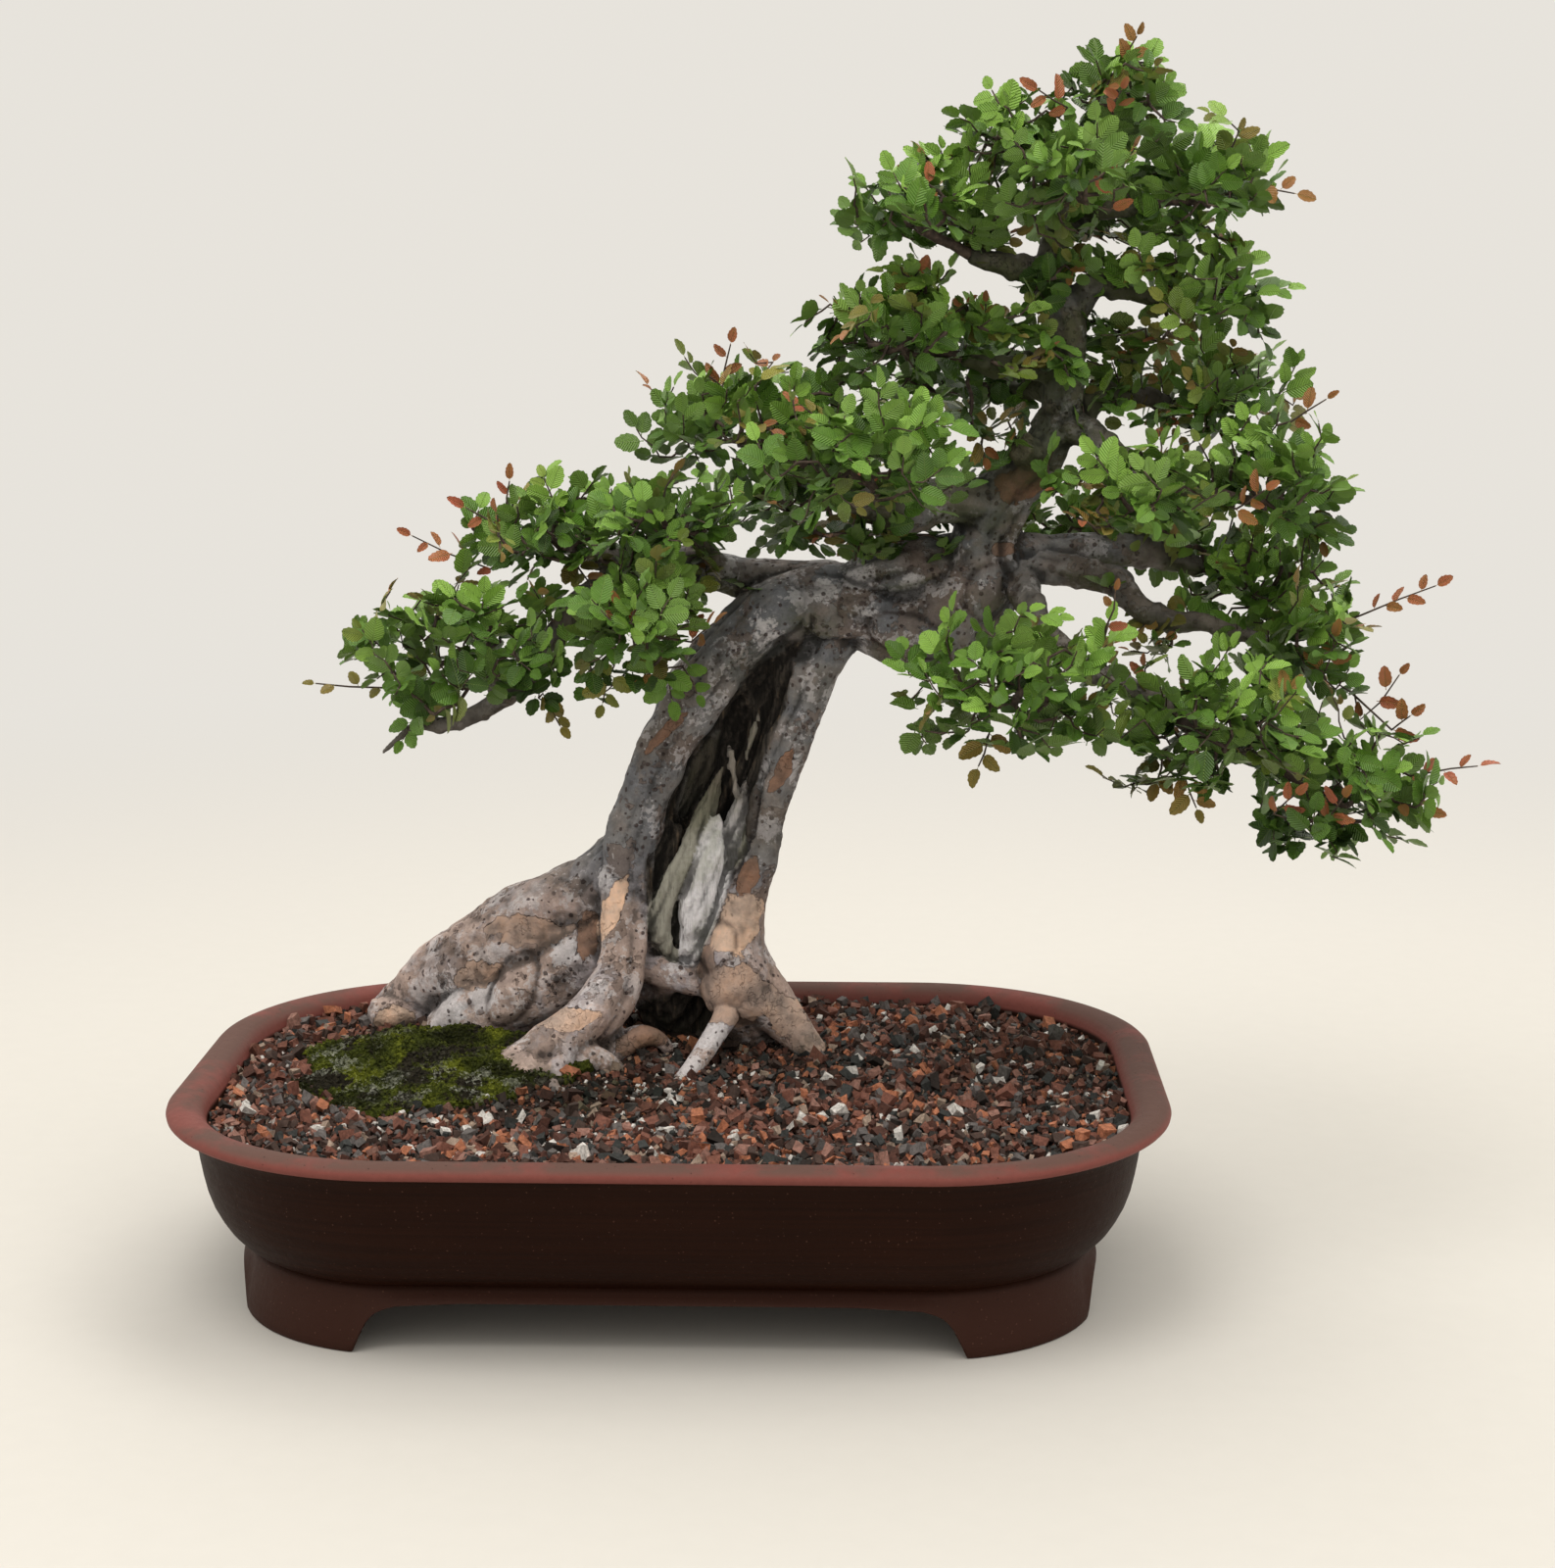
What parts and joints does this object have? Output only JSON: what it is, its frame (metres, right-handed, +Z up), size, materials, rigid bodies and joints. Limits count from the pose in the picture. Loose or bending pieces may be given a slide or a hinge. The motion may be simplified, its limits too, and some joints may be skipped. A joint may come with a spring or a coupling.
{
  "type": "chinese elm bonsai in a pot",
  "caption": "Leaning Chinese elm bonsai with a hollow arched trunk, raised roots and leafy branches, planted in a low rounded clay pot on corner feet.",
  "frame": {"origin": "the middle of the whole object's footprint, on the surface that the pot stands on", "axes": "+Z up, +X to the right along the pot's length and the way that the trunk leans, -Y towards the front, where the trunk's hollow shows"},
  "size_m": [0.725, 0.4266, 0.6893],
  "materials": {
    "clay": "matte",
    "mesh": "matte",
    "soil": "matte",
    "moss": "matte",
    "bark": "matte",
    "leaf": "satin"
  },
  "bodies": {
    "root": {"pot": "clay", "drain_screen_left": "mesh", "drain_screen_right": "mesh", "soil": "soil", "moss": "moss", "trunk": "bark", "spray_left_long_upper": "leaf", "spray_left_long_lower": "leaf", "spray_left_long_front": "leaf", "spray_left_middle_low": "leaf", "spray_left_middle": "leaf", "spray_middle_front": "leaf", "spray_back_left": "leaf", "spray_left_upper": "leaf", "spray_back_upper": "leaf", "spray_left_top": "leaf", "spray_apex_left": "leaf", "spray_top_front": "leaf", "spray_top_back": "leaf", "spray_right_top": "leaf", "spray_right_upper": "leaf", "spray_right_upper_back": "leaf", "spray_right_middle": "leaf", "spray_right_middle_front": "leaf", "spray_right_long": "leaf", "spray_right_back": "leaf", "spray_right_side": "leaf", "spray_right_low_front": "leaf", "spray_right_low": "leaf", "spray_right_low_tip": "leaf", "spray_apex": "leaf"}
  },
  "joints": []
}
